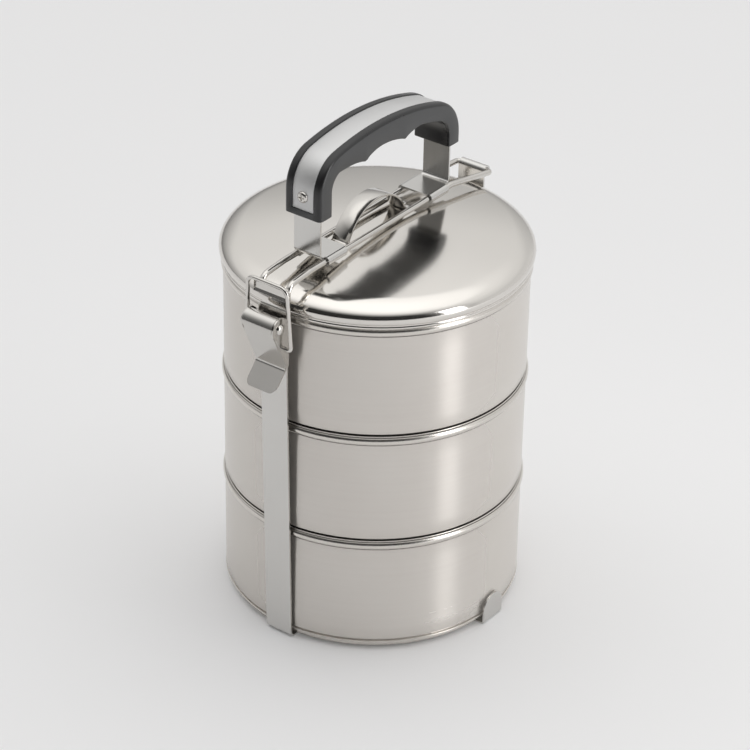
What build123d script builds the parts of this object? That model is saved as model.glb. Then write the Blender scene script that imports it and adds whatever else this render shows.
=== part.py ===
from build123d import *
import os
from math import asin, cos, radians, sin, sqrt

# Three-tier stacking food carrier: round containers held in a strap frame by a
# swinging bridge that carries the handle and is pulled down by a latch.
# Millimetres, +Z up, origin on the floor under the middle of the base.
# The latch faces -Y, the bridge hinge is at +Y, and the handle runs along Y.

# --- strap frame -------------------------------------------------------------
strap_width = 14.5
strap_thick = 0.9
strap_bend = 2.6
strap_foot_y = 71.2          # middle of the sheet where the uprights leave the base
front_top_y = 74.6           # the front upright leans out to this
front_lean_z = 140.0
front_top_z = 177.0
back_y = 73.0
knuckle_bore_r = 1.48
knuckle_wall = 0.95
knuckle_y = back_y + knuckle_bore_r + knuckle_wall / 2     # bridge hinge axis
knuckle_z = 185.8
cross_tab_x = 71.2
cross_tab_top = 14.0
joggle_half = 8.6            # the cross strap climbs over the long strap inside this
joggle_run = 2.2

# --- containers and lid ------------------------------------------------------
wall_r = 70.0
wall_thick = 0.8
foot_r = 68.6
foot_height = 4.6            # below the step, nested in the tier under it
foot_corner = 2.0
tier_pitch = 55.8
step_z = strap_thick + foot_height
ring_r = 70.0
ring_thick = 0.75
crease_height = 0.35
crease_r = 69.4
bead_r = 71.0
bead_low = 50.6              # above the step
seat_gap = 0.05
bead_top = tier_pitch - crease_height - ring_thick - seat_gap
floor_ring_r = 62.0
floor_raise = 2.0
lid_r = 71.9
lid_equator_z = 176.2
lid_shoulder_r = 62.0
lid_shoulder_z = 183.3
lid_top_z = 187.8
lid_rim_r = 71.2
lid_skirt_depth = 4.4

# --- arch handle on the lid --------------------------------------------------
arch_x = -1.0
arch_y = -5.0
arch_half_span = 21.5
arch_top_z = 201.6
arch_width = 9.0
arch_thick = 1.0
arch_foot = 7.5
arch_rivet_r = 1.3

# --- bridge ------------------------------------------------------------------
rod_r = 1.4
rod_x = 7.3
rod_end_x = 9.4
rod_z = 190.0
rod_crank_y = 46.0
rod_front_y = 74.6
rod_front_z = 188.7          # the rods dip from rod_dip_y to this, then turn down
rod_front_drop = 6.7
rod_front_bend = 5.0
rod_dip_y = 59.0
hook_half_width = 9.6
hook_thick = 0.9
hook_top_z = 188.8
hook_low_z = 182.6
hook_lip = 0.5

# --- handle ------------------------------------------------------------------
handle_y = -3.5
stay_half = 47.8             # handle stays, either side of the handle's middle
stay_top_z = 225.0
stay_wrap = 16.0
stay_thick = 0.9
wrap_gap = 0.05
grip_half = 51.8
grip_leg = 8.8
grip_width = 20.0
grip_low_z = 212.5
grip_top_z = 243.6
grip_peak_y = -8.0           # highest point of the arched top, from the handle's middle
grip_arch_r = 150.0
grip_reach = 38.0            # the arched top runs this far each way
grip_inner_z = 225.0         # the legs' inner faces stop here
ridge_z = 229.1
ridge_y = (-18.7, 9.7)       # ridges between the finger hollows, from the handle's middle
strip_width = 11.2
strip_thick = 0.6
strip_recess = 1.1
strip_low_z = 215.6
screw_z = {-1: 222.0, 1: 219.6}
screw_r = 1.5
screw_head_r = 2.6
screw_head_high = 1.3
nut_across = 5.5
nut_high = 2.2

# --- latch -------------------------------------------------------------------
pivot_y = -81.6              # lever rivet
pivot_z = 171.2
pin_r = 1.5
pin_gap = 0.06
ear_out_x = 9.0              # outer faces of the lever's ears
ear_thick = 0.8
lug_out_x = 8.0
lug_r = 3.4
roll_r = 4.9
hood_r = 5.6                 # outside of the roll that covers the nose
hood_thick = 0.8
hood_turn = (92, 140, 184)   # degrees about the rivet: back edge, middle, lower edge
fold_y = -76.6
fold_z = 148.4
tab_y = -84.9
tab_z = 139.4
tab_run_on = 3.0             # the sheet is drawn this much too long, then rounded off at tab_z
tab_corner = 3.0
bail_pivot_y = -78.2
bail_pivot_z = 159.8
bail_r = 0.95
bail_x = 12.2
bail_bar_x = 10.8
bail_bar_y = -79.4
bail_bar_z = 190.5


def save(shape, node):
    """Write one sub-part to its own file."""
    export_step(shape, f"parts/{node}.step")


def sheet_yz(path, width, thick, middle_x=0.0):
    """Sheet that follows a path drawn in the YZ plane, its width along X."""
    strip = Plane.YZ.offset(middle_x) * trace(path, thick)
    return extrude(strip, amount=width / 2, both=True)


def wire(path, radius):
    """Round wire along a path."""
    return sweep(Plane(path @ 0, z_dir=path % 0) * Circle(radius), path=path)


def x_pin(y, z, radius, x0, x1):
    """Cylinder along X between two stations."""
    place = Location((x0, y, z), (0, 90, 0))
    return place * Cylinder(radius, x1 - x0, align=(Align.CENTER, Align.CENTER, Align.MIN))


def y_pin(x, z, radius, y0, y1):
    """Cylinder along Y between two stations."""
    place = Location((x, y0, z), (-90, 0, 0))
    return place * Cylinder(radius, y1 - y0, align=(Align.CENTER, Align.CENTER, Align.MIN))


# --- strap frame -------------------------------------------------------------
def carrier_strap():
    """Long strap: front upright, base run and back upright with its rolled knuckle."""
    mid = strap_thick / 2
    path = FilletPolyline(
        (-front_top_y, front_top_z), (-front_top_y, front_lean_z),
        (-strap_foot_y, strap_bend + 3), (-strap_foot_y, mid),
        (back_y, mid), (back_y, knuckle_z),
        radius=strap_bend)
    body = sheet_yz(path, strap_width, strap_thick)
    ring = Circle(knuckle_bore_r + knuckle_wall) - Circle(knuckle_bore_r)
    knuckle = extrude(Plane.YZ * (Pos(knuckle_y, knuckle_z) * ring),
                      amount=strap_width / 2, both=True)
    body = body - x_pin(knuckle_y, knuckle_z, knuckle_bore_r, -strap_width, strap_width)
    return body + knuckle


def cross_strap():
    """Short strap across the base, joggled over the long one, with upturned tabs."""
    low = strap_thick / 2
    high = low + strap_thick
    flat_x = joggle_half + joggle_run
    path = FilletPolyline(
        (-cross_tab_x, cross_tab_top), (-cross_tab_x, low), (-flat_x, low),
        (-joggle_half, high), (joggle_half, high), (flat_x, low),
        (cross_tab_x, low), (cross_tab_x, cross_tab_top),
        radius=1.2)
    strip = Plane.XZ * trace(path, strap_thick)
    strap = extrude(strip, amount=strap_width / 2, both=True)
    tab = RectangleRounded(strap_width, 2 * cross_tab_top, 6.8)
    ends = extrude(Plane.YZ * tab, amount=cross_tab_x + 5, both=True)
    return strap & ends


def base_rivet():
    """Flush rivet that holds the two straps together."""
    shank = Cylinder(2.0, 2 * strap_thick, align=(Align.CENTER, Align.CENTER, Align.MIN))
    head = Pos(0, 0, 2 * strap_thick) * Cylinder(
        3.4, 0.7, align=(Align.CENTER, Align.CENTER, Align.MIN))
    head = fillet(head.edges().group_by(Axis.Z)[-1], 0.5)
    return shank + head


# --- containers --------------------------------------------------------------
def container(step):
    """One food container: beaded mouth, plain wall and a stepped foot."""
    foot = -foot_height
    inner_r = wall_r - wall_thick
    inner_foot = foot_r - wall_thick
    bead_mid = (bead_low + bead_top) / 2
    raised = foot + floor_raise
    outline = [
        Line((0, raised), (floor_ring_r - 2, raised)),
        Line((floor_ring_r - 2, raised), (floor_ring_r, foot)),
        Line((floor_ring_r, foot), (foot_r - foot_corner, foot)),
        RadiusArc((foot_r - foot_corner, foot), (foot_r, foot + foot_corner), -foot_corner),
        Polyline((foot_r, foot + foot_corner), (foot_r, -crease_height - ring_thick),
                 (ring_r, -crease_height - ring_thick), (ring_r, -crease_height),
                 (crease_r, -crease_height), (crease_r, 0), (wall_r, 0), (wall_r, bead_low)),
        ThreePointArc((wall_r, bead_low), (bead_r, bead_mid), (wall_r + 0.2, bead_top)),
        Polyline((wall_r + 0.2, bead_top), (inner_r, bead_top), (inner_r, 1.4),
                 (inner_foot, 0), (inner_foot, foot + foot_corner + wall_thick)),
        RadiusArc((inner_foot, foot + foot_corner + wall_thick),
                  (inner_foot - foot_corner, foot + wall_thick), foot_corner),
        Polyline((inner_foot - foot_corner, foot + wall_thick),
                 (floor_ring_r + 0.4, foot + wall_thick),
                 (floor_ring_r - 1.6, raised + wall_thick), (0, raised + wall_thick), (0, raised)),
    ]
    pot = revolve(Plane.XZ * make_face(outline), Axis.Z)
    return Pos(0, 0, step) * pot


# --- lid ---------------------------------------------------------------------
def crown_z(r):
    """Height of the lid's outer face at a radius inside the shoulder."""
    fall = lid_top_z - lid_shoulder_z
    return lid_top_z - fall * (r / lid_shoulder_r) ** 2


def lid_line(inset):
    """Dome outline from the rim to the middle, moved inwards by an inset."""
    slope = 2 * (lid_top_z - lid_shoulder_z) / lid_shoulder_r
    shoulder = Spline(
        (lid_r - inset, lid_equator_z), (69.2 - 0.75 * inset, 180.3 - 0.6 * inset),
        (66.4 - 0.45 * inset, 182.1 - 0.9 * inset), (lid_shoulder_r, lid_shoulder_z - inset),
        tangents=((0, 1), (-1, slope)))
    crown = Spline(
        (lid_shoulder_r, lid_shoulder_z - inset), (lid_shoulder_r / 2, crown_z(lid_shoulder_r / 2) - inset),
        (0, lid_top_z - inset), tangents=((-1, slope), (-1, 0)))
    return shoulder, crown


def lid():
    """Domed lid with a rolled rim and a skirt that drops into the top container."""
    seat = step_z + 3 * tier_pitch - crease_height - ring_thick
    skirt_low = seat - lid_skirt_depth
    skirt_in = foot_r - wall_thick
    shoulder, crown = lid_line(0)
    shoulder_in, crown_in = lid_line(wall_thick)
    rim_in = lid_r - wall_thick
    outline = [
        Polyline((foot_r, seat), (lid_rim_r - 0.6, seat)),
        ThreePointArc((lid_rim_r - 0.6, seat), (lid_rim_r, seat + 0.9), (lid_rim_r - 0.2, seat + 1.8)),
        Spline((lid_rim_r - 0.2, seat + 1.8), (lid_r, lid_equator_z), tangents=((0.4, 1), (0, 1))),
        shoulder, crown,
        Line((0, lid_top_z), (0, lid_top_z - wall_thick)),
        crown_in, shoulder_in,
        Polyline((rim_in, lid_equator_z), (rim_in - 1.2, seat + 1.4), (skirt_in, seat + 1.4),
                 (skirt_in, skirt_low), (foot_r, skirt_low), (foot_r, seat)),
    ]
    return revolve(Plane.XZ * make_face(outline), Axis.Z)


def foot_z(y):
    """Middle of an arch foot's sheet where it lies on the crown."""
    return crown_z(abs(y)) + arch_thick / 2 + 0.08


def lid_arch():
    """Flat strip bent into a finger loop, with feet turned outwards on the crown."""
    front = arch_y - arch_half_span
    back = arch_y + arch_half_span
    loop = ThreePointArc(
        (front, foot_z(front)), (arch_y, arch_top_z - arch_thick / 2), (back, foot_z(back)))
    arch = sheet_yz(loop, arch_width, arch_thick, arch_x)
    for root, side in ((front, -1), (back, 1)):
        tip = root + side * arch_foot
        foot = sheet_yz(Line((root, foot_z(root)), (tip, foot_z(tip))), arch_width, arch_thick, arch_x)
        low = arch_x - arch_width / 2
        corner = x_pin(root, foot_z(root), arch_thick / 2, low, low + arch_width)
        arch = arch + foot + corner
    corners = RectangleRounded(arch_width, 2 * (arch_half_span + arch_foot), 3.5)
    return arch & extrude(Pos(arch_x, arch_y, lid_shoulder_z) * corners, amount=30)


def lid_arch_rivets():
    """Low domed rivets on the arch's feet."""
    group = []
    for side in (-1, 1):
        y = arch_y + side * (arch_half_span + arch_foot / 2 + 0.3)
        low = foot_z(y) + arch_thick / 2 + 0.1
        head = Pos(arch_x, y, low) * Cylinder(
            arch_rivet_r, 0.6, align=(Align.CENTER, Align.CENTER, Align.MIN))
        group.append(fillet(head.edges().group_by(Axis.Z)[-1], 0.4))
    return Compound(children=group)


# --- bridge ------------------------------------------------------------------
def bridge_rod(side):
    """One rod of the bridge, bent down at the latch and turned in at the hinge."""
    x = side * rod_x
    path = FilletPolyline(
        (x, -rod_front_y, rod_front_z - rod_front_drop), (x, -rod_front_y, rod_front_z),
        (x, -rod_dip_y, rod_z), (x, rod_crank_y, rod_z),
        (side * rod_end_x, knuckle_y, knuckle_z), (side * 0.3, knuckle_y, knuckle_z),
        radius=(rod_front_bend, 12.0, 12.0, 1.9))
    return wire(path, rod_r)


def hook_plate():
    """Plate across the rods' front ends; its lip is what the bail pulls down on."""
    y = -rod_front_y - rod_r - hook_thick / 2 - 0.03
    path = FilletPolyline(
        (y - 0.7, hook_low_z), (y, hook_low_z + 1.6), (y, hook_top_z - 1.2),
        (y - hook_lip, hook_top_z), radius=1.0)
    plate = sheet_yz(path, 2 * hook_half_width, hook_thick)
    corners = RectangleRounded(2 * hook_half_width, hook_top_z - hook_low_z + 1.4, 2.2)
    window = Pos(0, (hook_top_z + hook_low_z) / 2) * corners
    return plate & extrude(Plane.XZ.offset(rod_front_y) * window, amount=8)


# --- handle ------------------------------------------------------------------
def handle_stay(side):
    """Upright stay whose foot lies on the rods with its edges rolled round them."""
    y = handle_y + side * stay_half
    reach = -side * (stay_wrap + 1.0)
    top = rod_z + rod_r + wrap_gap + stay_thick / 2
    upright = sheet_yz(
        FilletPolyline((y, stay_top_z), (y, top), (y + reach, top), radius=2.2),
        strap_width, stay_thick)
    roll_r = rod_r + wrap_gap + stay_thick / 2
    rolls = []
    for edge in (-1, 1):
        cx = edge * rod_x
        roll = Plane.XZ * trace(
            ThreePointArc((cx, rod_z + roll_r), (cx + edge * roll_r, rod_z),
                          (cx - edge * 0.3, rod_z - roll_r + 0.03)), stay_thick)
        span = Plane.XZ * trace(Line((0, rod_z + roll_r), (cx, rod_z + roll_r)), stay_thick)
        rolls += [Pos(0, y - side * 3.2, 0) * extrude(part, amount=side * (stay_wrap - 3.0))
                  for part in (roll, span)]
    foot = upright
    for part in rolls:
        foot = foot + part
    return foot


def grip_line(depth, low):
    """Outside line of the grip about its middle, moved inwards by a depth."""
    half = grip_half - depth
    arch_r = grip_arch_r - depth
    arch_z = grip_top_z - grip_arch_r
    ends = {}
    sides = {}
    for side in (-1, 1):
        lean = asin((grip_reach - side * grip_peak_y) / grip_arch_r)
        corner_r = (grip_half - grip_reach) / (1 - sin(lean))
        middle_y = side * (grip_half - corner_r)
        middle_z = arch_z + grip_arch_r * cos(lean) - corner_r * cos(lean)
        bend_r = corner_r - depth
        half_way = (radians(90) - lean) / 2
        end = (middle_y + side * bend_r * sin(lean), middle_z + bend_r * cos(lean))
        via = (middle_y + side * bend_r * cos(half_way), middle_z + bend_r * sin(half_way))
        ends[side] = end
        sides[side] = [Line((side * half, low), (side * half, middle_z)),
                       ThreePointArc((side * half, middle_z), via, end)]
    top = ThreePointArc(ends[-1], (grip_peak_y, arch_z + arch_r), ends[1])
    return sides[-1] + [top] + sides[1]


def grip_side():
    """Side outline of the grip in the YZ plane, about the handle's middle."""
    leg_in = grip_half - grip_leg
    left, right = ridge_y
    under = [
        Polyline((-grip_half, grip_low_z), (-leg_in, grip_low_z), (-leg_in, grip_inner_z)),
        Spline((-leg_in, grip_inner_z), (-40.0, 230.4), (-33.0, 231.3), (-25.0, 230.6), (left, ridge_z),
               tangents=((0, 1), (1, -0.4))),
        Spline((left, ridge_z), (-13.0, 231.9), (-6.5, 232.6), (2.0, 231.5), (right, ridge_z),
               tangents=((1, 0.7), (1, -0.4))),
        Spline((right, ridge_z), (15.0, 231.2), (24.0, 231.4), (33.0, 229.4), (39.5, 225.6),
               (leg_in, grip_inner_z - 5.0), tangents=((1, 0.5), (0, -1))),
        Polyline((leg_in, grip_inner_z - 5.0), (leg_in, grip_low_z), (grip_half, grip_low_z)),
    ]
    return Pos(handle_y, 0) * make_face(grip_line(0, grip_low_z) + under)


def grip_band(low, high):
    """Band that follows the grip's outside between two depths below its face."""
    ends = [Line((s * (grip_half - low), strip_low_z), (s * (grip_half - high), strip_low_z))
            for s in (-1, 1)]
    edges = grip_line(low, strip_low_z) + grip_line(high, strip_low_z) + ends
    band = Pos(handle_y, 0) * make_face(edges)
    return extrude(Plane.YZ * band, amount=strip_width / 2, both=True)


def grip():
    """Moulded grip with finger hollows, a recess for the strip and a slot in each leg."""
    body = extrude(Plane.YZ * grip_side(), amount=grip_width / 2, both=True)
    outer = [e for e in body.faces().filter_by(Axis.X).edges()
             if e.center().Z > grip_top_z - 7 or abs(e.center().Y - handle_y) > grip_reach + 6]
    body = fillet(outer, 1.6)
    body = body - grip_band(-2.0, strip_recess)
    for side in (-1, 1):
        y = handle_y + side * stay_half
        slot_high = stay_top_z + 0.4 - grip_low_z + 1
        slot = Pos(0, y, grip_low_z - 1 + slot_high / 2) * Box(
            strap_width + 0.4, stay_thick + 0.2, slot_high)
        hole_end = handle_y + side * (grip_half + 1)
        near, far = sorted((y, hole_end))
        pocket_y = y - side * (stay_thick / 2 + nut_high / 2 + 0.2)
        pocket = Pos(0, pocket_y, screw_z[side]) * Box(nut_across + 1.2, nut_high + 0.5, nut_across + 1.2)
        tip = Pos(0, pocket_y - side * 1.3, screw_z[side]) * Box(3.6, 1.6, 3.6)
        body = body - slot - y_pin(0, screw_z[side], screw_r + 0.1, near, far) - pocket - tip
    return body


def grip_strip():
    """Metal strip let into the grip's outer face, with a screw hole near each end."""
    strip = grip_band(strip_recess - strip_thick, strip_recess)
    for side in (-1, 1):
        low, high = sorted((handle_y + side * (grip_half - 4), handle_y + side * (grip_half + 2)))
        strip = strip - y_pin(0, screw_z[side], screw_r + 0.1, low, high)
    return strip


def grip_screw(side):
    """Pan-head cross screw that clamps the strip and the grip to a stay."""
    seat = handle_y + side * (grip_half - strip_recess + strip_thick)
    inner = handle_y + side * (stay_half - stay_thick / 2 - nut_high - 0.6)
    low, high = sorted((seat, inner))
    shank = y_pin(0, screw_z[side], screw_r, low, high)
    out = seat + side * screw_head_high
    low, high = sorted((seat, out))
    head = y_pin(0, screw_z[side], screw_head_r, low, high)
    rim = head.edges().sort_by(Axis.Y)[-1 if side > 0 else 0]
    head = fillet(rim, 0.9)
    slot = Pos(0, out, screw_z[side]) * (Box(3.0, 1.2, 0.7) + Box(0.7, 1.2, 3.0))
    return shank + head - slot


def grip_nut(side):
    """Hexagon nut behind a stay, inside the grip's leg."""
    face = handle_y + side * (stay_half - stay_thick / 2 - 0.1)
    nut = extrude(RegularPolygon(nut_across / 2, 6, major_radius=False), nut_high)
    nut = nut - Cylinder(screw_r + 0.05, 3 * nut_high)
    return Location((0, face, screw_z[side]), (90 * side, 0, 0)) * nut


def stay_with_hole(side):
    """Handle stay with its screw hole."""
    y = handle_y + side * stay_half
    return handle_stay(side) - y_pin(0, screw_z[side], screw_r + 0.1, y - 2, y + 2)


# --- latch -------------------------------------------------------------------
def latch_bracket():
    """Bracket on the front upright whose lugs carry the lever's rivet."""
    back = -front_top_y - strap_thick / 2
    low = 157.5
    high = 176.5
    plate = Pos(0, back - 0.4, (low + high) / 2) * Box(2 * lug_out_x, 0.8, high - low)
    lug = make_face(Polyline(
        (back, low + 0.5), (pivot_y - lug_r, pivot_z), (pivot_y + 1.5, pivot_z + lug_r - 0.4),
        (pivot_y + 3.0, pivot_z + 1.0), (back, pivot_z - 2.0), close=True))
    lug = lug + Pos(pivot_y, pivot_z) * Circle(lug_r)
    lugs = extrude(Plane.YZ.offset(-lug_out_x) * lug, amount=0.8)
    lugs = lugs + extrude(Plane.YZ.offset(lug_out_x) * lug, amount=-0.8)
    return plate + lugs - x_pin(pivot_y, pivot_z, pin_r, -12, 12)


def lever_rivet():
    """Rivet that the lever turns on, with a domed head at each end."""
    out = ear_out_x + 0.05
    pin = x_pin(pivot_y, pivot_z, pin_r, -out, out)
    for side in (-1, 1):
        low, high = sorted((side * out, side * (out + 1.05)))
        head = x_pin(pivot_y, pivot_z, 2.5, low, high)
        rim = head.edges().sort_by(Axis.X)[-1 if side > 0 else 0]
        pin = pin + fillet(rim, 0.9)
    return pin


def lever_line():
    """Middle of the lever's sheet: rolled nose, sloping face and flared thumb tab."""
    start = radians(100)
    mid_r = roll_r - ear_thick / 2
    nose = (pivot_y + mid_r * cos(start), pivot_z + mid_r * sin(start))
    run_y = fold_y - (pivot_y - mid_r)
    run_z = fold_z - pivot_z
    lean = sqrt(run_y ** 2 + run_z ** 2)
    off = (-mid_r * -run_z / lean, mid_r * -run_y / lean)
    leave = (pivot_y + off[0], pivot_z + off[1])
    middle = (pivot_y - mid_r * cos(radians(35)), pivot_z + mid_r * sin(radians(35)))
    return nose, middle, leave


def latch_lever():
    """Lever: nose rolled round the rivet, face, thumb tab and two side ears."""
    nose, middle, leave = lever_line()
    face = [ThreePointArc(nose, middle, leave)]
    run_on = tab_run_on / (fold_z - tab_z)
    past_tab = (tab_y + (tab_y - fold_y) * run_on, tab_z - tab_run_on)
    face_low = FilletPolyline(leave, (fold_y, fold_z), past_tab, radius=2.0)
    sheet = sheet_yz(face[0], 2 * (ear_out_x - ear_thick) + 0.2, ear_thick)
    sheet = sheet + sheet_yz(face_low, 2 * (ear_out_x - ear_thick) + 0.2, ear_thick)
    middle_r = hood_r - hood_thick / 2
    roll = [(pivot_y + middle_r * cos(radians(a)), pivot_z + middle_r * sin(radians(a))) for a in hood_turn]
    sheet = sheet + sheet_yz(ThreePointArc(*roll), 2 * (ear_out_x - ear_thick) + 0.2, hood_thick)
    window = Pos(0, (tab_z + pivot_z) / 2 + 4.5) * RectangleRounded(
        2 * ear_out_x - 1.6, pivot_z - tab_z + 9, tab_corner)
    sheet = sheet & extrude(Plane.XZ.offset(70) * window, amount=25)
    ear = make_face(Polyline(
        leave, (fold_y - 0.2, fold_z + 1.0), (fold_y + 0.9, fold_z + 2.2),
        (bail_pivot_y + 2.4, bail_pivot_z), (pivot_y + 5.4, pivot_z), (pivot_y, pivot_z + 5.3),
        close=True))
    ear = ear + Pos(pivot_y, pivot_z) * Circle(5.3)
    ear = ear - Pos(pivot_y, pivot_z) * Circle(pin_r + pin_gap)
    ear = ear - Pos(bail_pivot_y, bail_pivot_z) * Circle(bail_r + pin_gap)
    right = extrude(Plane.YZ.offset(ear_out_x) * ear, amount=-ear_thick)
    left = extrude(Plane.YZ.offset(-ear_out_x) * ear, amount=ear_thick)
    return sheet + right + left


def latch_bail():
    """Wire bail: its ends turn in through the lever's ears, its bar meets the hook."""
    tip = ear_out_x - ear_thick - 0.5
    path = FilletPolyline(
        (-tip, bail_pivot_y, bail_pivot_z), (-bail_x, bail_pivot_y, bail_pivot_z),
        (-bail_bar_x, bail_bar_y, bail_bar_z), (bail_bar_x, bail_bar_y, bail_bar_z),
        (bail_x, bail_pivot_y, bail_pivot_z), (tip, bail_pivot_y, bail_pivot_z),
        radius=(1.5, 3.8, 3.8, 1.5))
    return wire(path, bail_r)


os.makedirs("parts", exist_ok=True)

save(carrier_strap() - Cylinder(2.0, 10), "carrier_strap")
save(cross_strap() - Cylinder(2.0, 10), "cross_strap")
save(base_rivet(), "base_rivet")
for tier, name in enumerate(("bottom", "middle", "top")):
    save(container(step_z + tier * tier_pitch), f"container_{name}")
save(lid(), "lid")
save(lid_arch(), "lid_arch")
save(lid_arch_rivets(), "lid_arch_rivets")
for side, name in ((-1, "left"), (1, "right")):
    save(bridge_rod(side), f"bridge_rod_{name}")
save(hook_plate(), "hook_plate")
save(grip(), "grip")
save(grip_strip(), "grip_strip")
for side, name in ((-1, "front"), (1, "rear")):
    save(stay_with_hole(side), f"handle_stay_{name}")
    save(grip_screw(side), f"grip_screw_{name}")
    save(grip_nut(side), f"grip_nut_{name}")
save(latch_bracket(), "latch_bracket")
save(lever_rivet(), "lever_rivet")
save(latch_lever(), "latch_lever")
save(latch_bail(), "latch_bail")
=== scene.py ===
from math import asin, atan2, cos, degrees, pi, radians, sin, sqrt, tan

import bmesh
import bpy
from mathutils import Matrix, Vector


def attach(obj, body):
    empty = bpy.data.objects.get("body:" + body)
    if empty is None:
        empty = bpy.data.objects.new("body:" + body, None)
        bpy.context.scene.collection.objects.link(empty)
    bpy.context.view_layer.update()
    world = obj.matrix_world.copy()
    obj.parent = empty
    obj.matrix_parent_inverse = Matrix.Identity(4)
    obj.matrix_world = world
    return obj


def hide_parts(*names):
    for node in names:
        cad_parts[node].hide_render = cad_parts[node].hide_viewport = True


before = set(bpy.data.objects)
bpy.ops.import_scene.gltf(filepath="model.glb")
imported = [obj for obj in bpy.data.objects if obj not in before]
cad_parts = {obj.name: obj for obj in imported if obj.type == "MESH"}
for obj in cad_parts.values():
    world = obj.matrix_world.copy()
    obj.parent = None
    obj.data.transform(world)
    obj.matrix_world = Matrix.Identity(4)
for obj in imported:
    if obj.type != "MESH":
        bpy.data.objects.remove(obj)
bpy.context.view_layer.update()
mm = 0.001
print("frame loaded:", len(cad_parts), "nodes")


# small tools used by every piece

def deselectAll():
    if bpy.context.object and bpy.context.object.mode != "OBJECT":
        bpy.ops.object.mode_set(mode="OBJECT")
    bpy.ops.object.select_all(action="DESELECT")


def makeActive(part):
    deselectAll()
    part.select_set(True)
    bpy.context.view_layer.objects.active = part


def editAll(part):
    makeActive(part)
    bpy.ops.object.mode_set(mode="EDIT")
    bpy.ops.mesh.select_mode(type="VERT")
    bpy.ops.mesh.select_all(action="SELECT")


def startLine(name, point):
    # a plane merged to one point, ready to be extruded into a line
    deselectAll()
    bpy.ops.mesh.primitive_plane_add(size=mm)
    part = bpy.context.object
    part.name = part.data.name = name
    bpy.ops.object.mode_set(mode="EDIT")
    bpy.ops.mesh.select_mode(type="VERT")
    bpy.ops.mesh.merge(type="CENTER")
    bpy.ops.transform.translate(value=Vector(point) * mm)
    return part


def extrudeBy(step):
    bpy.ops.mesh.extrude_region_move(TRANSFORM_OT_translate={"value": Vector(step) * mm})


def drawLine(name, points, closed=True):
    # extrudes a point along the outline, in millimetres
    part = startLine(name, points[0])
    for a, b in zip(points, points[1:]):
        extrudeBy(Vector(b) - Vector(a))
    bpy.ops.mesh.select_all(action="DESELECT")
    if closed:
        mesh = bmesh.from_edit_mesh(part.data)
        ends = [v for v in mesh.verts if len(v.link_edges) == 1]
        for v in ends:
            v.select = True
        mesh.select_flush_mode()
        bmesh.update_edit_mesh(part.data)
        bpy.ops.mesh.edge_face_add()
    bpy.ops.mesh.select_all(action="SELECT")
    return part


def tidyMesh(part, mergeAt=0.002):
    editAll(part)
    bpy.ops.mesh.remove_doubles(threshold=mergeAt * mm)
    bpy.ops.mesh.normals_make_consistent(inside=False)
    bpy.ops.object.mode_set(mode="OBJECT")


def addModifier(part, kind, **settings):
    makeActive(part)
    modifier = part.modifiers.new(kind.title(), kind)
    for key, value in settings.items():
        setattr(modifier, key, value)
    bpy.ops.object.modifier_apply(modifier=modifier.name)


def softenEdges(part, width, segments=2, angle=32):
    addModifier(part, "BEVEL", width=width * mm, segments=segments, limit_method="ANGLE",
                angle_limit=radians(angle), harden_normals=False, loop_slide=True)


def shadeSmooth(part, angle=38):
    makeActive(part)
    bpy.ops.object.shade_smooth_by_angle(angle=radians(angle))


def lathe(name, outline, steps, centre=(0, 0, 0), axis=(0, 0, 1)):
    # outline is points in space on one side of the axis, spun once round
    part = drawLine(name, outline)
    bpy.ops.mesh.spin(steps=steps, angle=2 * pi, center=Vector(centre) * mm, axis=axis)
    tidyMesh(part)
    return part


def arcPoints(centre, radius, start, end, count):
    # (across, up) points on an arc, angles in degrees
    out = []
    for i in range(count + 1):
        a = radians(start + (end - start) * i / count)
        out.append((centre[0] + radius * cos(a), centre[1] + radius * sin(a)))
    return out


def bezierPoints(a, b, c, d, count):
    out = []
    for i in range(count + 1):
        t = i / count
        s = 1 - t
        out.append(tuple(s ** 3 * p + 3 * s * s * t * q + 3 * s * t * t * r + t ** 3 * u
                         for p, q, r, u in zip(a, b, c, d)))
    return out


def bendAlong(name, section, corners, radii, across, steps=8):
    # section is (across, out) points, drawn at the first corner and swept through straight runs and round bends;
    # steps is the number of slices in a quarter turn, or a list with the number for each bend
    points = [Vector(c) for c in corners]
    heading = (points[1] - points[0]).normalized()
    sideways = Vector(across).normalized()
    outward = heading.cross(sideways).normalized()
    ring = [points[0] + sideways * a + outward * b for a, b in section]
    part = drawLine(name, ring)
    place = points[0].copy()
    for i in range(1, len(points)):
        heading = (points[i] - points[i - 1]).normalized()
        if i < len(points) - 1:
            after = (points[i + 1] - points[i]).normalized()
            turn = heading.angle(after)
            pullBack = radii[i - 1] * tan(turn / 2)
        else:
            turn = pullBack = 0
        end = points[i] - heading * pullBack
        if (end - place).length > 0.01:
            extrudeBy(end - place)
        place = end
        if turn > 0.001:
            axis = heading.cross(after).normalized()
            centre = place + axis.cross(heading).normalized() * radii[i - 1]
            listed = isinstance(steps, (list, tuple))
            count = steps[i - 1] if listed else max(2, round(steps * turn / (pi / 2)))
            bpy.ops.mesh.spin(steps=count, angle=-turn, center=centre * mm, axis=axis)
            place = points[i] + after * pullBack
    makeActive(part)
    bpy.ops.object.mode_set(mode="EDIT")
    bpy.ops.mesh.select_mode(type="EDGE")
    bpy.ops.mesh.select_all(action="DESELECT")
    bpy.ops.mesh.select_non_manifold()
    bpy.ops.mesh.fill_holes(sides=0)
    tidyMesh(part)
    return part


def stripSection(width, thick):
    w, t = width / 2, thick / 2
    return [(-w, -t), (w, -t), (w, t), (-w, t)]


def wireSection(radius, count=20):
    return arcPoints((0, 0), radius, 0, 360 - 360 / count, count - 1)


def cutWith(part, cutter):
    addModifier(part, "BOOLEAN", operation="DIFFERENCE", solver="EXACT", object=cutter)
    bpy.data.objects.remove(cutter)


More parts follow.
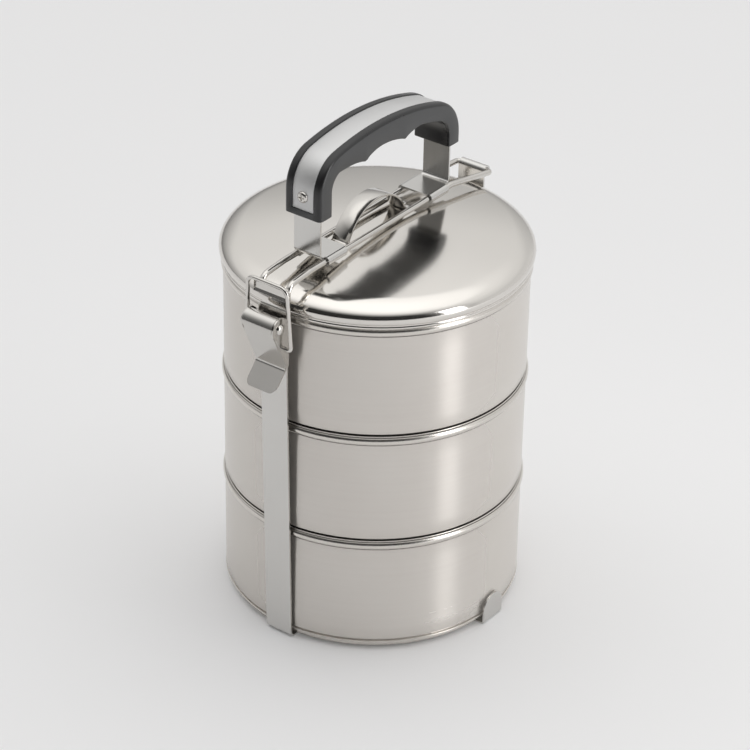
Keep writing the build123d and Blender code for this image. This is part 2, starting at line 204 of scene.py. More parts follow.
def joinParts(parts):
    deselectAll()
    for part in parts:
        part.select_set(True)
    bpy.context.view_layer.objects.active = parts[0]
    bpy.ops.object.join()
    return parts[0]


def softCopy(node, name, width, segments=2):
    # a copy of a CAD node, merged and with its edges softened
    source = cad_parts[node]
    part = bpy.data.objects.new(name, source.data.copy())
    part.data.name = name
    bpy.context.scene.collection.objects.link(part)
    editAll(part)
    bpy.ops.mesh.remove_doubles(threshold=0.002 * mm)
    bpy.ops.mesh.dissolve_limited(angle_limit=radians(0.6))
    bpy.ops.object.mode_set(mode="OBJECT")
    softenEdges(part, width, segments, 30)
    return part


def evenShading(part):
    # keeps broad flats flat-shaded beside their softened edges
    addModifier(part, "WEIGHTED_NORMAL", mode="FACE_AREA", weight=50, keep_sharp=True)


def paintWhere(part, finish, test):
    # gives another finish to the faces that pass the test of their middle, in millimetres, and their normal
    index = len(part.data.materials)
    part.data.materials.append(finish)
    for face in part.data.polygons:
        if test(face.center / mm, face.normal):
            face.material_index = index


def paintBands(part, finish, bands):
    paintWhere(part, finish, lambda middle, normal: any(low < middle.z < high for low, high in bands))


def finishPart(part, finish, body, slot, *nodes, angle=38, even=False):
    shadeSmooth(part, angle)
    if even:
        evenShading(part)
    part.data.materials.clear()
    part.data.materials.append(finish)
    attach(part, body)
    if nodes:
        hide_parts(*nodes)
    return part


# materials
noiseLow, noiseHigh = 0.3, 0.7      # the band that nearly all of a noise's values lie in
streakShare = 0.3                   # how much of the steel's colour change follows its grain
quarterTurn = 0.25                  # turns a brushed finish from across the axis to along it

def newMaterial(name):
    material = bpy.data.materials.new(name)
    material.use_nodes = True
    nodes = material.node_tree.nodes
    return material, nodes, material.node_tree.links, nodes["Principled BSDF"]


def noiseOn(nodes, links, stretch, scale, detail=3.0, rough=0.55):
    coords = nodes.new("ShaderNodeTexCoord")
    mapping = nodes.new("ShaderNodeMapping")
    mapping.inputs["Scale"].default_value = stretch
    noise = nodes.new("ShaderNodeTexNoise")
    noise.inputs["Scale"].default_value = scale
    noise.inputs["Detail"].default_value = detail
    noise.inputs["Roughness"].default_value = rough
    links.new(coords.outputs["Object"], mapping.inputs["Vector"])
    links.new(mapping.outputs["Vector"], noise.inputs["Vector"])
    return noise.outputs["Fac"]


def remap(nodes, links, source, low, high, toLow, toHigh):
    node = nodes.new("ShaderNodeMapRange")
    node.inputs["From Min"].default_value = low
    node.inputs["From Max"].default_value = high
    node.inputs["To Min"].default_value = toLow
    node.inputs["To Max"].default_value = toHigh
    links.new(source, node.inputs["Value"])
    return node.outputs["Result"]


def blendMath(nodes, links, kind, a, b):
    node = nodes.new("ShaderNodeMath")
    node.operation = kind
    for socket, value in zip(node.inputs, (a, b)):
        if isinstance(value, (int, float)):
            socket.default_value = value
        else:
            links.new(value, socket)
    return node.outputs["Value"]


def mixColour(nodes, links, factor, a, b):
    node = nodes.new("ShaderNodeMix")
    node.data_type = "RGBA"
    node.inputs["A"].default_value = (*a, 1)
    node.inputs["B"].default_value = (*b, 1)
    links.new(factor, node.inputs["Factor"])
    return node.outputs["Result"]


def addBump(nodes, links, shader, height, distance, strength):
    bump = nodes.new("ShaderNodeBump")
    bump.inputs["Distance"].default_value = distance
    bump.inputs["Strength"].default_value = strength
    links.new(height, bump.inputs["Height"])
    links.new(bump.outputs["Normal"], shader.inputs["Normal"])


def steelFinish(name, look):
    material, nodes, links, shader = newMaterial(name)
    grain = noiseOn(nodes, links, look["grainStretch"], look["grainScale"], 4.0, 0.6)
    cloud = noiseOn(nodes, links, (1, 1, 1), look["cloudScale"], 4.0, 0.5)
    streak = remap(nodes, links, grain, noiseLow, noiseHigh, 0, streakShare)
    patches = remap(nodes, links, cloud, noiseLow, noiseHigh, 0, 1 - streakShare)
    mixture = blendMath(nodes, links, "ADD", streak, patches)
    links.new(mixColour(nodes, links, mixture, look["darker"], look["colour"]), shader.inputs["Base Color"])
    rough, spread = look["rough"], look["roughSpread"]
    fine = remap(nodes, links, grain, noiseLow, noiseHigh, rough - spread, rough + spread)
    patch = remap(nodes, links, cloud, noiseLow, noiseHigh, -look["smudge"], look["smudge"])
    links.new(blendMath(nodes, links, "ADD", fine, patch), shader.inputs["Roughness"])
    if look["bump"]:
        addBump(nodes, links, shader, grain, look["bumpDepth"], look["bump"])
    shader.inputs["Metallic"].default_value = look.get("metallic", 1.0)
    shader.inputs["Anisotropic"].default_value = look["aniso"]
    if look["aniso"]:
        tangent = nodes.new("ShaderNodeTangent")
        tangent.direction_type = "RADIAL"
        tangent.axis = "Z"
        links.new(tangent.outputs["Tangent"], shader.inputs["Tangent"])
        shader.inputs["Anisotropic Rotation"].default_value = quarterTurn
    return material


finishes = {
    "containerSteel": dict(
        colour=(0.71, 0.68, 0.64), darker=(0.655, 0.62, 0.58), grainStretch=(3, 3, 420), grainScale=1.6,
        cloudScale=22, rough=0.26, roughSpread=0.003, smudge=0.012, bump=0, aniso=0.88, metallic=0.72),
    "rimSteel": dict(
        colour=(0.70, 0.67, 0.63), darker=(0.66, 0.63, 0.59), grainStretch=(3, 3, 420), grainScale=1.6,
        cloudScale=40, rough=0.24, roughSpread=0.02, smudge=0.02, bump=0, aniso=0.0),
    # painted shade: a near-black steel for the container's crease and the narrow bands under and above the bead,
    # standing in for their shade and dark reflections
    "seamShadeSteel": dict(
        colour=(0.11, 0.105, 0.095), darker=(0.07, 0.066, 0.06), grainStretch=(3, 3, 420), grainScale=1.6,
        cloudScale=60, rough=0.42, roughSpread=0.05, smudge=0.04, bump=0.02, bumpDepth=0.00001, aniso=0.0),
    "lidSteel": dict(
        colour=(0.74, 0.715, 0.68), darker=(0.715, 0.69, 0.655), grainStretch=(1, 1, 1), grainScale=900,
        cloudScale=30, rough=0.12, roughSpread=0.015, smudge=0.02, bump=0.01, bumpDepth=0.00001, aniso=0.0),
    "strapSteel": dict(
        colour=(0.65, 0.64, 0.62), darker=(0.62, 0.61, 0.59), grainStretch=(400, 400, 6), grainScale=1.5,
        cloudScale=40, rough=0.20, roughSpread=0.02, smudge=0.02, bump=0.012, bumpDepth=0.00001, aniso=0.0),
    "polishedSteel": dict(
        colour=(0.68, 0.66, 0.63), darker=(0.62, 0.60, 0.57), grainStretch=(1, 1, 1), grainScale=420,
        cloudScale=60, rough=0.12, roughSpread=0.02, smudge=0.03, bump=0.02, bumpDepth=0.00001, aniso=0.0),
    "latchSteel": dict(
        colour=(0.61, 0.595, 0.57), darker=(0.57, 0.555, 0.53), grainStretch=(8, 500, 500), grainScale=1.5,
        cloudScale=50, rough=0.15, roughSpread=0.02, smudge=0.03, bump=0.012, bumpDepth=0.00001, aniso=0.0),
    "trimSteel": dict(
        colour=(0.70, 0.70, 0.70), darker=(0.66, 0.66, 0.66), grainStretch=(500, 8, 8), grainScale=1.4,
        cloudScale=45, rough=0.56, roughSpread=0.03, smudge=0.03, bump=0.03, bumpDepth=0.00001, aniso=0.0),
}
steel = {name: steelFinish(name, look) for name, look in finishes.items()}


def gripFinish(name, look):
    material, nodes, links, shader = newMaterial(name)
    grain = noiseOn(nodes, links, (1, 1, 1), look["grainScale"], 2.0, 0.5)
    cloud = noiseOn(nodes, links, (1, 1, 1), look["cloudScale"], 4.0, 0.55)
    shade = mixColour(nodes, links, remap(nodes, links, cloud, 0.35, 0.7, 0, 1), look["colour"], look["worn"])
    links.new(shade, shader.inputs["Base Color"])
    rough, spread = look["rough"], look["roughSpread"]
    patch = remap(nodes, links, cloud, noiseLow, noiseHigh, rough - spread, rough + spread)
    links.new(patch, shader.inputs["Roughness"])
    addBump(nodes, links, shader, grain, look["bumpDepth"], look["bump"])
    shader.inputs["Specular IOR Level"].default_value = look["specular"]
    return material


plasticLook = dict(colour=(0.036, 0.037, 0.038), worn=(0.050, 0.051, 0.052), grainScale=2600, cloudScale=55,
                   rough=0.42, roughSpread=0.05, bump=0.25, bumpDepth=0.00004, specular=0.6)
# glossier plastic that is also near-black: painted shade and dark reflection for the grip's lips and the legs' inner
# faces
glossShadeLook = dict(plasticLook, colour=(0.008, 0.008, 0.009), worn=(0.014, 0.014, 0.015), rough=0.30, bump=0.12)
gripPlastic = gripFinish("gripPlastic", plasticLook)
gripGlossShade = gripFinish("gripGlossShade", glossShadeLook)
print("materials made")

# camera
cameraLook = dict(place=(0.68845, -0.93038, 0.8021), turn=36.5, tip=59.0, roll=1.11, lens=139.34)
cameraData = bpy.data.cameras.new("camera")
camera = bpy.data.objects.new("camera", cameraData)
bpy.context.scene.collection.objects.link(camera)
turned = Matrix.Rotation(radians(cameraLook["turn"]), 4, "Z")
tipped = Matrix.Rotation(radians(cameraLook["tip"]), 4, "X")
rolled = Matrix.Rotation(radians(cameraLook["roll"]), 4, "Z")
aim = turned @ tipped @ rolled
camera.matrix_world = Matrix.Translation(cameraLook["place"]) @ aim
cameraData.lens = cameraLook["lens"]
cameraData.sensor_width = 36
cameraData.clip_end = 50
bpy.context.scene.camera = camera


# studio: floor, sky and lights
def makeFloor():
    look = dict(size=9.0, colour=(0.875, 0.875, 0.885), darker=(0.86, 0.86, 0.865), rough=0.7,
                specular=0.2, cloudScale=3.0)
    deselectAll()
    bpy.ops.mesh.primitive_plane_add(size=look["size"])
    floor = bpy.context.object
    floor.name = "floor"
    material, nodes, links, shader = newMaterial("floorPaper")
    cloud = noiseOn(nodes, links, (1, 1, 1), look["cloudScale"])
    links.new(mixColour(nodes, links, cloud, look["darker"], look["colour"]), shader.inputs["Base Color"])
    shader.inputs["Roughness"].default_value = look["rough"]
    shader.inputs["Specular IOR Level"].default_value = look["specular"]
    floor.data.materials.append(material)


def addLight(name, place, target, width, height, power):
    data = bpy.data.lights.new(name, "AREA")
    data.shape = "RECTANGLE"
    data.size, data.size_y = width, height
    data.energy = power
    data.use_shadow = False
    light = bpy.data.objects.new(name, data)
    bpy.context.scene.collection.objects.link(light)
    toward = Vector(target) - Vector(place)
    light.matrix_world = Matrix.Translation(place) @ toward.to_track_quat("-Z", "Y").to_matrix().to_4x4()


def makeSky():
    # soft grey room, brightest overhead, darker low down on the latch side
    look = dict(levels=((0.0, 0.78), (0.30, 0.74), (0.52, 0.86), (0.72, 1.0), (0.86, 1.32), (1.0, 1.45)),
                tint=(1.0, 0.995, 0.985), dark=0.04, darkSide=(0.40, -0.92, 0), darkSpread=(0.0, 0.62),
                darkHeights=(0.60, 0.97), left=0.35, leftSide=(-0.92, 0.38, 0), leftSpread=(0.3, 0.95),
                leftHeights=(0.05, 0.45))
    world = bpy.data.worlds.new("studio")
    bpy.context.scene.world = world
    world.use_nodes = True
    nodes, links = world.node_tree.nodes, world.node_tree.links
    coords = nodes.new("ShaderNodeTexCoord")
    split = nodes.new("ShaderNodeSeparateXYZ")
    links.new(coords.outputs["Generated"], split.inputs["Vector"])
    ramp = nodes.new("ShaderNodeValToRGB")
    ramp.color_ramp.interpolation = "EASE"
    stops = ramp.color_ramp.elements
    for i, (at, level) in enumerate(look["levels"]):
        stop = stops[i] if i < 2 else stops.new(at)
        stop.position = at
        stop.color = (*(level * c for c in look["tint"]), 1)
    links.new(split.outputs["Z"], ramp.inputs["Fac"])

    def towards(direction, low, high):
        dot = nodes.new("ShaderNodeVectorMath")
        dot.operation = "DOT_PRODUCT"
        dot.inputs[1].default_value = direction
        links.new(coords.outputs["Generated"], dot.inputs[0])
        return remap(nodes, links, dot.outputs["Value"], low, high, 0, 1)

    def dimmed(patch, level):
        # 1 away from the patch, falling to the level inside it
        depth = blendMath(nodes, links, "MULTIPLY", patch, 1 - level)
        return blendMath(nodes, links, "SUBTRACT", 1.0, depth)

    belowTop = remap(nodes, links, split.outputs["Z"], *look["darkHeights"], 1, 0)
    facing = towards(look["darkSide"], *look["darkSpread"])
    front = dimmed(blendMath(nodes, links, "MULTIPLY", belowTop, facing), look["dark"])
    nearFloor = remap(nodes, links, split.outputs["Z"], *look["leftHeights"], 1, 0)
    leftward = blendMath(nodes, links, "MULTIPLY", towards(look["leftSide"], *look["leftSpread"]), nearFloor)
    strength = blendMath(nodes, links, "MULTIPLY", front, dimmed(leftward, look["left"]))
    links.new(ramp.outputs["Color"], nodes["Background"].inputs["Color"])
    links.new(strength, nodes["Background"].inputs["Strength"])


softboxLook = dict(place=(1.6, 0.02, 0.4), target=(0, 0, 0.1), width=0.42, height=1.6, power=9.5)

makeFloor()
makeSky()
bpy.context.scene.view_settings.view_transform = "Standard"
addLight("sideSoftbox", **softboxLook)
print("studio made")


# the three stacked containers
containerLook = dict(
    wallR=70.0, wallThick=0.8, wallLow=0.55, creaseR=68.8,
    footR=68.6, footHigh=4.6, footCorner=2.0, floorFlatR=40, floorRingR=62.0, floorRaise=2.0,
    ringTop=-0.40, ringLow=-1.08, ringR=70.15, beadLow=50.6, beadTop=54.65, beadR=71.0,
    firstStep=5.5, pitch=55.8, turns=144, edge=0.08,
    # the second set of bands is painted shade: the crease above the foot ring, the underside of the bead and the gap
    # above it
    rims=((50.4, 55), (-1.2, -0.3)), shadeSeams=((50.55, 51.35), (54.4, 54.64), (-0.42, 0.5)))


def makeContainers():
    look = containerLook
    wall, foot, thick = look["wallR"], look["footR"], look["wallThick"]
    inner, innerFoot = wall - thick, foot - thick
    low = -look["footHigh"]
    raised = low + look["floorRaise"]
    corner, flat, floorRing = look["footCorner"], look["floorFlatR"], look["floorRingR"]
    beadLow, beadTop, wallLow = look["beadLow"], look["beadTop"], look["wallLow"]
    half = (beadTop - beadLow) / 2
    bulge = look["beadR"] - wall
    beadRound = (bulge ** 2 + half ** 2) / (2 * bulge)
    sweep = degrees(atan2(half, beadRound - bulge))
    beadMid = beadLow + half
    ringTop, ringLow = look["ringTop"], look["ringLow"]
    ringHalf = (ringTop - ringLow) / 2
    ringMiddleR = look["ringR"] - ringHalf

    # the outside, from the middle of the floor up to the bead
    outline = [(0, raised), (flat, raised), (floorRing - 2, raised), (floorRing, low), (foot - corner, low)]
    outline += arcPoints((foot - corner, low + corner), corner, -75, 0, 6)
    outline += [(foot, ringLow), (ringMiddleR, ringLow)]
    outline += arcPoints((ringMiddleR, ringLow + ringHalf), ringHalf, -60, 60, 6)
    outline += [(ringMiddleR, ringTop), (look["creaseR"], ringTop), (look["creaseR"], wallLow - 0.1)]
    outline += [(wall - 0.5, wallLow - 0.05), (wall - 0.15, wallLow + 0.08), (wall, wallLow + 0.4)]
    outline += [(wall, 8), (wall, 25), (wall, 42), (wall, beadLow)]
    outline += arcPoints((look["beadR"] - beadRound, beadMid), beadRound, -sweep, sweep, 16)[1:]

    # the inside, from the mouth down to the middle of the floor
    outline += [(inner + 0.25, beadTop), (inner, beadTop - 0.25), (inner, 30), (inner, 1.4), (innerFoot, 0)]
    outline += [(innerFoot, low + corner + thick)]
    outline += arcPoints((innerFoot - corner, low + corner + thick), corner, -15, -90, 5)
    outline += [(floorRing + 0.4, low + thick), (floorRing - 1.6, raised + thick)]
    outline += [(flat, raised + thick), (0, raised + thick)]
    first = lathe("containerBottom", [(r, 0, z + look["firstStep"]) for r, z in outline], look["turns"])
    softenEdges(first, look["edge"], 2, 28)
    parts = [first]
    tiers = ("bottom", "middle", "top")
    for i, name in enumerate(("containerMiddle", "containerTop"), 1):
        copy = bpy.data.objects.new(name, first.data.copy())
        copy.data.name = name
        bpy.context.scene.collection.objects.link(copy)
        copy.data.transform(Matrix.Translation((0, 0, i * look["pitch"] * mm)))
        parts.append(copy)
    for i, (part, tier) in enumerate(zip(parts, tiers)):
        body, node = f"{tier}_tier", f"container_{tier}"
        finishPart(part, steel["containerSteel"], body, "container_steel", node, angle=50)
        base = look["firstStep"] + look["pitch"] * i
        # rim bands get isotropic steel; the seam bands get the near-black painted shade
        for finish, bands in (("rimSteel", look["rims"]), ("seamShadeSteel", look["shadeSeams"])):
            used = bands[:-1] if tier == "bottom" else bands      # the lowest foot is plain
            paintBands(part, steel[finish], [(low + base, high + base) for low, high in used])
    print("containers done")


makeContainers()


# lid
lidLook = dict(seat=171.8, outerR=71.9, equator=176.2, shoulderR=62.0, shoulderZ=183.3, top=187.8, rimR=71.2,
               rimRound=0.9, skirtR=68.6, skirtInR=67.8, skirtDeep=4.4, thick=0.8, turns=160, edge=0.12,
               crownRings=(58, 54, 50, 46, 42, 38, 34, 30, 26, 22, 18, 14, 10, 6, 3, 0),
               innerShoulder=((66.0, 181.2), (68.6, 179.6), (70.6, 177.6)))


def crownZ(r):
    return lidLook["top"] - (lidLook["top"] - lidLook["shoulderZ"]) * (r / lidLook["shoulderR"]) ** 2


def makeLid():
    look = lidLook
    seat, outer, equator, thick = look["seat"], look["outerR"], look["equator"], look["thick"]
    rimR, roundR, shoulderR = look["rimR"], look["rimRound"], look["shoulderR"]
    slope = 2 * (look["top"] - look["shoulderZ"]) / shoulderR
    rim = [(look["skirtR"], seat), (rimR - 0.7, seat)]
    rim += arcPoints((rimR - roundR, seat + roundR), roundR, -70, 50, 8)
    widest, crownEdge = (outer, equator), (shoulderR, look["shoulderZ"])
    rim += bezierPoints((rimR - 0.28, seat + 1.75), (rimR - 0.35, seat + 2.2), (outer, equator - 1.4), widest, 8)
    pull = (shoulderR + 4.8, look["shoulderZ"] - 4.8 * slope)       # along the crown's slope, so the two meet smoothly
    shoulder = bezierPoints(widest, (outer, equator + 3.6), pull, crownEdge, 22)[1:]
    crown = [(r, crownZ(r)) for r in look["crownRings"]]
    inside = [(r, crownZ(r) - thick) for r in (0, 15, 30, 45, 56, shoulderR - 1)]
    inside += look["innerShoulder"]
    inside += [(outer - thick, equator), (69.9, seat + 1.4), (look["skirtInR"], seat + 1.4)]
    inside += [(look["skirtInR"], seat - look["skirtDeep"]), (look["skirtR"], seat - look["skirtDeep"])]
    part = lathe("lid", [(r, 0, z) for r, z in rim + shoulder + crown + inside], look["turns"])
    softenEdges(part, look["edge"], 2, 40)
    finishPart(part, steel["lidSteel"], "cover", "lid_steel", "lid", angle=50)
    print("lid done")


makeLid()

# arch handle on the lid
archLook = dict(x=-1.0, y=-5.0, half=21.5, top=201.6, width=9.0, thick=1.0, foot=7.5, footCorner=3.5, footBend=1.3,
                rivetR=1.5, rivetHigh=0.75, rivetSink=0.4)


def archFootZ(y):
    return crownZ(abs(y)) + archLook["thick"] / 2 + 0.08


def makeArch():
    look = archLook
    front, back = look["y"] - look["half"], look["y"] + look["half"]
    rise = look["top"] - look["thick"] / 2 - archFootZ(front)
    bend = (look["half"] ** 2 + rise ** 2) / (2 * rise)
    lean = atan2(look["half"], bend - rise)
    peak = archFootZ(front) + look["half"] * tan(lean)
    tips = front - look["foot"], back + look["foot"]
    corners = [(look["x"], y, archFootZ(y)) for y in (tips[0], front)]
    corners += [(look["x"], look["y"], peak)]
    corners += [(look["x"], y, archFootZ(y)) for y in (back, tips[1])]
    radii = [look["footBend"], bend - 0.8, look["footBend"]]
    part = bendAlong("lidArch", stripSection(look["width"], look["thick"]), corners, radii, (1, 0, 0), 22)
    editAll(part)
    bpy.ops.mesh.select_all(action="DESELECT")
    mesh = bmesh.from_edit_mesh(part.data)
    for edge in mesh.edges:       # the four upright edges at the tips get the rounded corners
        a, b = (v.co / mm for v in edge.verts)
        atTip = min(abs(a.y - t) for t in tips) < 0.3 and min(abs(b.y - t) for t in tips) < 0.3
        edge.select = atTip and abs(a.x - b.x) < 0.01
    bmesh.update_edit_mesh(part.data)
    bpy.ops.mesh.bevel(offset=look["footCorner"] * mm, segments=6, affect="EDGES")
    tidyMesh(part)
    softenEdges(part, 0.16, 2, 40)
    finishPart(part, steel["polishedSteel"], "cover", "polished_steel", "lid_arch", angle=30)
    rivets = []
    for side in (-1, 1):
        x, y = look["x"], look["y"] + side * (look["half"] + look["foot"] / 2 + 0.3)
        base = archFootZ(y) + look["thick"] / 2 - 0.05
        r, high = look["rivetR"], look["rivetHigh"]
        dome = [(x, y, base - look["rivetSink"]), (x + r, y, base - look["rivetSink"])]
        dome += [(x + r * cos(radians(t)), y, base + high * sin(radians(t))) for t in range(0, 91, 15)]
        rivets.append(lathe("archRivet", dome, 24, (x, y, 0)))
    both = joinParts(rivets)
    both.name = both.data.name = "archRivets"
    finishPart(both, steel["polishedSteel"], "cover", "polished_steel", "lid_arch_rivets")
    print("arch done")


makeArch()

# bridge: rods, hook plate and stays
bridgeLook = dict(rodR=1.4, rodX=7.3, endX=9.4, rodZ=190.0, crankY=46.0, dipY=59.0, frontY=74.6, frontZ=188.7,
                  frontDrop=6.7, hingeY=74.955, hingeZ=185.8, hingeGap=0.3,
                  bends=[5.0, 12.0, 12.0, 1.9], slices=[12, 4, 8, 12])


def makeBridge():
    look = bridgeLook
    front, hinge = look["frontZ"], (look["hingeY"], look["hingeZ"])
    for side, word in ((-1, "left"), (1, "right")):
        x = side * look["rodX"]
        corners = [(x, -look["frontY"], front - look["frontDrop"]), (x, -look["frontY"], front)]
        corners += [(x, -look["dipY"], look["rodZ"]), (x, look["crankY"], look["rodZ"])]
        corners += [(side * look["endX"], *hinge), (side * look["hingeGap"], *hinge)]
        rod = bendAlong(f"bridgeRod{word.title()}", wireSection(look["rodR"]), corners, look["bends"], (1, 0, 0),
                        look["slices"])
        softenEdges(rod, 0.25, 3, 50)
        finishPart(rod, steel["polishedSteel"], "bridge", "polished_steel", f"bridge_rod_{word}", angle=40)
    hook = softCopy("hook_plate", "hookPlate", 0.2)
    finishPart(hook, steel["polishedSteel"], "bridge", "polished_steel", "hook_plate", angle=35, even=True)
    for side in ("front", "rear"):
        node = f"handle_stay_{side}"
        stay = softCopy(node, f"handleStay{side.title()}", 0.12)
        finishPart(stay, steel["strapSteel"], "bridge", "strap_steel", node, angle=35, even=True)
    print("bridge done")


makeBridge()

# grip
gripLook = dict(y=-3.5, half=51.8, leg=8.8, width=20.0, low=212.5, top=243.6, peak=-8.0, archR=150.0, reach=38.0,
                outerRound=1.9, innerRound=1.2, ridgeZ=229.1, ridges=(-18.7, 9.7), hollows=(2.3, 3.5, 2.4),
                stripWidth=11.2, stripThick=0.6, recess=1.1, stripLow=215.6, stripGap=0.2,
                screwZ={-1: 222.0, 1: 219.6}, screwHeadR=2.7, screwShaftR=1.5, screwHigh=1.35, crossLong=3.0,
                crossWide=0.62, glossShadeZ=222.0)


def gripCorners(depth, low):
    # corners and bend sizes of the grip's outside line, moved inwards by a depth
    look = gripLook
    half, archR, y = look["half"] - depth, look["archR"] - depth, look["y"]
    knees, slopes, ends, radii = {}, {}, {}, {}
    for side in (-1, 1):
        lean = asin((look["reach"] - side * look["peak"]) / look["archR"])
        endY = look["peak"] + side * archR * sin(lean)
        endZ = look["top"] - look["archR"] + archR * cos(lean)
        slopes[side] = tan(lean)
        ends[side] = (endY, endZ)
        knees[side] = endZ - (half - side * endY) * tan(lean)
        radii[side] = (look["half"] - look["reach"]) / (1 - sin(lean)) - depth
    rise = ends[1][1] + ends[1][0] * slopes[1] - ends[-1][1] + ends[-1][0] * slopes[-1]
    peakY = rise / (slopes[-1] + slopes[1])
    peakZ = ends[-1][1] + (peakY - ends[-1][0]) * slopes[-1]
    corners = [(0, y - half, low), (0, y - half, knees[-1]), (0, y + peakY, peakZ)]
    corners += [(0, y + half, knees[1]), (0, y + half, low)]
    return corners, [radii[-1], archR, radii[1]]


def hollowZ(y):
    # height of the finger hollows under the grip
    left, right = gripLook["ridges"]
    first, middle, last = gripLook["hollows"]
    if y < left:
        rise = first * sin(pi / 2 * min(1, (left - y) / 12)) ** 0.75
    elif y < right:
        rise = middle * sin(pi * ((y - left) / (right - left)) ** 0.82) ** 0.75
    else:
        rise = last * sin(pi / 2 * min(1, (y - right) / 11)) ** 0.75
    return gripLook["ridgeZ"] + rise


def makeGrip():
    look = gripLook
    w, deep, recess = look["width"] / 2, look["leg"], look["recess"]
    groove = look["stripWidth"] / 2 + look["stripGap"]
    r, inner = look["outerRound"], look["innerRound"]
    side = [(groove, recess), (groove, 0.3), (groove + 0.3, 0)]
    side += [(w - r + r * sin(radians(a)), r - r * cos(radians(a))) for a in (0, 18, 36, 54, 72, 90)]
    side += [(w + 0.1, deep / 2), (w, deep - inner)]
    side += arcPoints((w - inner, deep - inner), inner, 30, 90, 2)
    section = [(0, recess)] + side + [(0, deep)] + [(-a, b) for a, b in reversed(side)]
    corners, radii = gripCorners(0, look["low"])
    ledges = [look["stripLow"] - 0.25, look["stripLow"] - 0.05]
    front = [(0, corners[0][1], z) for z in ledges]
    back = [(0, corners[-1][1], z) for z in reversed(ledges)]
    corners = corners[:1] + front + corners[1:4] + back + corners[4:]
    part = bendAlong("grip", section, corners, [0, 0] + radii + [0, 0], (1, 0, 0), [1, 1, 16, 72, 16, 1, 1])
    archZ = look["top"] - look["archR"]
    for v in part.data.vertices:
        x, y, z = v.co.x / mm, v.co.y / mm - look["y"], v.co.z / mm
        if z < ledges[0] + 0.01 and abs(x) < groove + 0.1:      # the groove stops short of the leg's end
            side = 1 if y > 0 else -1
            if abs(y) > look["half"] - recess - 0.01:
                v.co.y = (look["y"] + side * look["half"]) * mm
        reach = sqrt((y - look["peak"]) ** 2 + (z - archZ) ** 2)
        depth = look["archR"] - reach
        if z > 221 and abs(y) < look["reach"] and depth > 4.5:   # finger hollows under the arched top
            plain = archZ + sqrt((look["archR"] - deep) ** 2 - (y - look["peak"]) ** 2)
            share = min(1.0, (depth - 4.4) / (deep - 4.4 - inner))
            v.co.z += min(0.0, hollowZ(y) - plain) * share * mm
    tidyMesh(part)
    softenEdges(part, 0.35, 3, 50)
    finishPart(part, gripPlastic, "bridge", "grip_plastic", "grip", angle=40)
    heart = Vector((0, look["y"], look["glossShadeZ"]))

    # mask for painted shade: the lips beside the strip and the legs' inner faces low down get the near-black glossy
    # finish
    def isGlossShade(middle, normal):
        away = (middle - heart).normalized()
        away.x = 0
        lip = abs(middle.x) > groove - 0.3 and abs(normal.x) < 0.93 and normal.dot(away) > 0.2
        facesIn = normal.y * (middle.y - look["y"]) < 0 and abs(normal.y) > 0.5
        return lip or (facesIn and middle.z < look["ridgeZ"] + 6)

    paintWhere(part, gripGlossShade, isGlossShade)

    depth = recess - look["stripThick"] / 2
    corners, radii = gripCorners(depth, look["stripLow"])
    section = stripSection(look["stripWidth"], look["stripThick"])
    strip = bendAlong("gripStrip", section, corners, radii, (1, 0, 0), [16, 60, 16])
    softenEdges(strip, 0.12, 2, 50)
    finishPart(strip, steel["trimSteel"], "bridge", "trim_steel", "grip_strip", angle=30)
    for side, name in ((-1, "front"), (1, "rear")):
        makeScrew(side, f"gripScrew{name.title()}", f"grip_screw_{name}")
    print("grip done")


def makeScrew(side, name, node):
    # pan head with a cross recess, spun about Y
    look = gripLook
    z, seat = look["screwZ"][side], look["y"] + side * (look["half"] - look["recess"] + look["stripThick"])
    r, shaft, high = look["screwHeadR"], look["screwShaftR"], look["screwHigh"]
    rim = 0.25      # height of the head's upright edge, under its dome
    outline = [(0, seat - side * 4, z), (shaft, seat - side * 4, z)]
    outline += [(shaft, seat - side * 0.2, z), (r, seat - side * 0.2, z)]
    for angle in (0, 15, 30, 45, 60, 75):
        a = radians(angle)
        outline.append((r * cos(a) ** 0.7, seat + side * (rim + (high - rim) * sin(a)), z))
    outline.append((0, seat + side * high, z))
    part = lathe(name, outline, 32, (0, 0, z), (0, 1, 0))
    cross = look["crossLong"], look["crossWide"]
    for wide, tall in (cross, cross[::-1]):
        deselectAll()
        bpy.ops.mesh.primitive_cube_add(size=1, location=(0, (seat + side * high) * mm, z * mm))
        cutter = bpy.context.object
        cutter.scale = (wide * mm, 1.5 * mm, tall * mm)
        bpy.ops.object.transform_apply(location=True, rotation=True, scale=True)
        cutWith(part, cutter)
    softenEdges(part, 0.06, 1, 50)
    finishPart(part, steel["polishedSteel"], "bridge", "polished_steel", node, angle=35)


makeGrip()


# latch
latchLook = dict(pivot=(-81.6, 171.2), headR=2.6, headHigh=1.25, headRim=0.3, shaftR=1.5, reach=9.05,
                 bailPivot=(-78.2, 159.8), bailR=0.95, bailX=12.2, barX=10.8, bar=(-79.4, 190.5), tip=7.7,
                 bends=[1.5, 3.8, 3.8, 1.5])


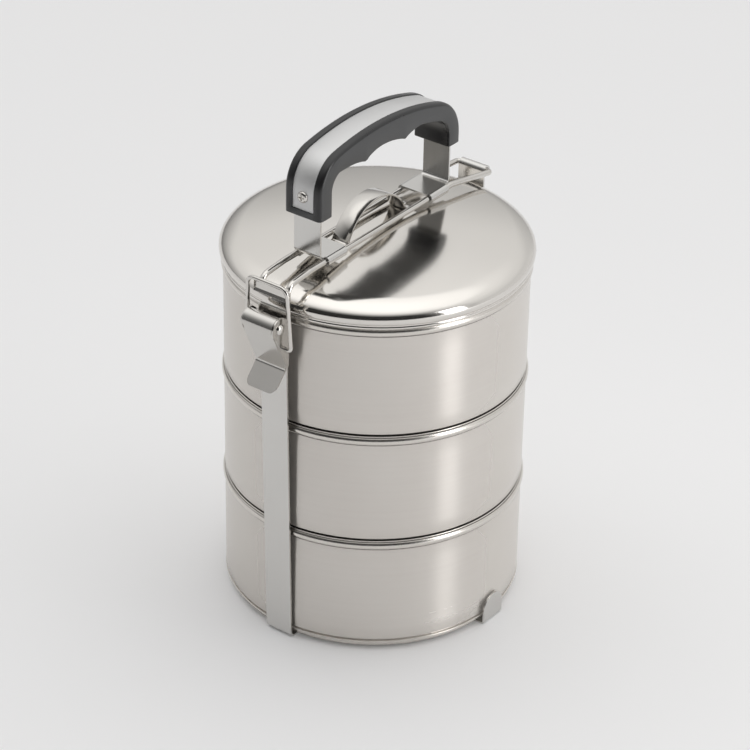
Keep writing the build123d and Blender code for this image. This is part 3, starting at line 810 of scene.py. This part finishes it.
def makeLatch():
    look = latchLook
    lever = softCopy("latch_lever", "latchLever", 0.28, 3)
    finishPart(lever, steel["latchSteel"], "lever", "strap_steel", "latch_lever", angle=35, even=True)
    bracket = softCopy("latch_bracket", "latchBracket", 0.15)
    finishPart(bracket, steel["latchSteel"], "frame", "strap_steel", "latch_bracket", angle=35, even=True)
    y, z = look["pivot"]
    r, high, rim, shaft, out = look["headR"], look["headHigh"], look["headRim"], look["shaftR"], look["reach"]
    heads = []
    for side in (-1, 1):
        dome = [(0, y, z), (0, y + shaft, z), (side * out, y + shaft, z), (side * out, y + r, z)]
        for angle in range(0, 91, 15):
            a = radians(angle)
            dome.append((side * (out + rim + (high - rim) * sin(a)), y + r * cos(a), z))
        heads.append(lathe("leverRivet", dome, 32, (0, y, z), (1, 0, 0)))
    rivet = joinParts(heads)
    rivet.name = rivet.data.name = "leverRivet"
    finishPart(rivet, steel["polishedSteel"], "frame", "polished_steel", "lever_rivet", angle=35)
    (py, pz), (by, bz) = look["bailPivot"], look["bar"]
    tip, foot, bar = look["tip"], look["bailX"], look["barX"]
    corners = [(-tip, py, pz), (-foot, py, pz), (-bar, by, bz), (bar, by, bz), (foot, py, pz), (tip, py, pz)]
    bail = bendAlong("latchBail", wireSection(look["bailR"], 16), corners, look["bends"], (0, 1, 0), 8)
    softenEdges(bail, 0.2, 2, 60)
    finishPart(bail, steel["polishedSteel"], "bail", "polished_steel", "latch_bail", angle=40)
    print("latch done")


makeLatch()


# strap frame
frameLook = dict(
    carrierStrap=("carrier_strap", 0.14),
    crossStrap=("cross_strap", 0.14),
    baseRivet=("base_rivet", 0.08))


def makeFrame():
    for name, (node, width) in frameLook.items():
        part = softCopy(node, name, width)
        finishPart(part, steel["strapSteel"], "frame", "strap_steel", node, angle=35, even=True)
    print("frame done")


makeFrame()

for name in ("grip_nut_front", "grip_nut_rear"):      # the nuts keep their own shape
    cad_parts[name].data.materials.clear()
    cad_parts[name].data.materials.append(steel["trimSteel"])
print("nuts done")
